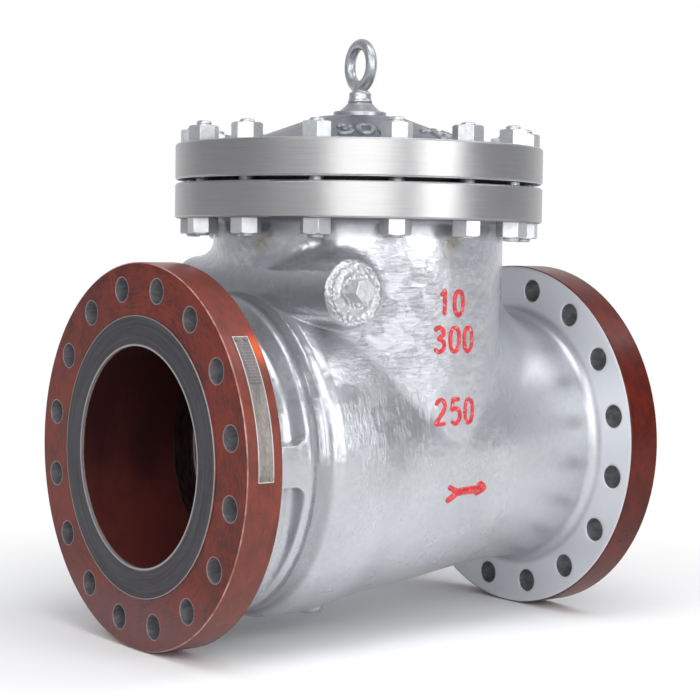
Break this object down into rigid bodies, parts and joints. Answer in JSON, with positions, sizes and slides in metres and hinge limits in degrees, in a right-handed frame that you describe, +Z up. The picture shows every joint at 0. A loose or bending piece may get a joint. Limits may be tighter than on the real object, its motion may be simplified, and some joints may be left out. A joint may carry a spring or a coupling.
{
  "type": "swing non-return valve",
  "caption": "Flanged cast steel swing non-return valve with a bolted domed cover, a cranked arm and a disc that swings off its seat ring.",
  "frame": {"origin": "centre of the bolt circle on the inlet flange's bolting plane, 1.6 mm behind its raised face", "axes": "+X is the flow direction through the valve, +Z points up through the cover, +Y completes the right-handed frame"},
  "size_m": [0.622, 0.451, 0.7214],
  "materials": {
    "cast_body": "silver paint over a steel casting",
    "cast_cover": "silver paint over a steel casting",
    "painted_fastener": "silver paint over steel",
    "stainless": "turned",
    "cast_arm": "as cast",
    "bush_metal": "turned",
    "gasket": "graphite",
    "plate_metal": "dull"
  },
  "bodies": {
    "body": {"valve_body": "cast_body", "seat_ring": "stainless", "hinge_pin": "stainless", "pin_plug": "painted_fastener", "plug_weld": "cast_body", "cover": "cast_cover", "cover_gasket": "gasket", "cover_studs": "painted_fastener", "upper_nuts": "painted_fastener", "lower_nuts": "painted_fastener", "lifting_eye_bolt": "painted_fastener", "nameplate": "plate_metal", "nameplate_rivets": "plate_metal"},
    "arm": {"hinge_arm": "cast_arm", "arm_bush_near": "bush_metal", "arm_bush_far": "bush_metal"},
    "closure": {"disc": "stainless", "disc_washer": "stainless", "disc_nut": "stainless", "disc_split_pin": "stainless"}
  },
  "joints": [
    {"name": "disc_swing", "type": "hinge", "parent": "body", "child": "arm", "pos_m": [0.1684, 0, 0.1945], "axis": [0, -1, 0], "range_deg": [0, 60]},
    {"name": "disc_spin", "type": "hinge", "parent": "arm", "child": "closure", "pos_m": [0.2, 0, 0], "axis": [1, 0, 0], "continuous": true}
  ]
}
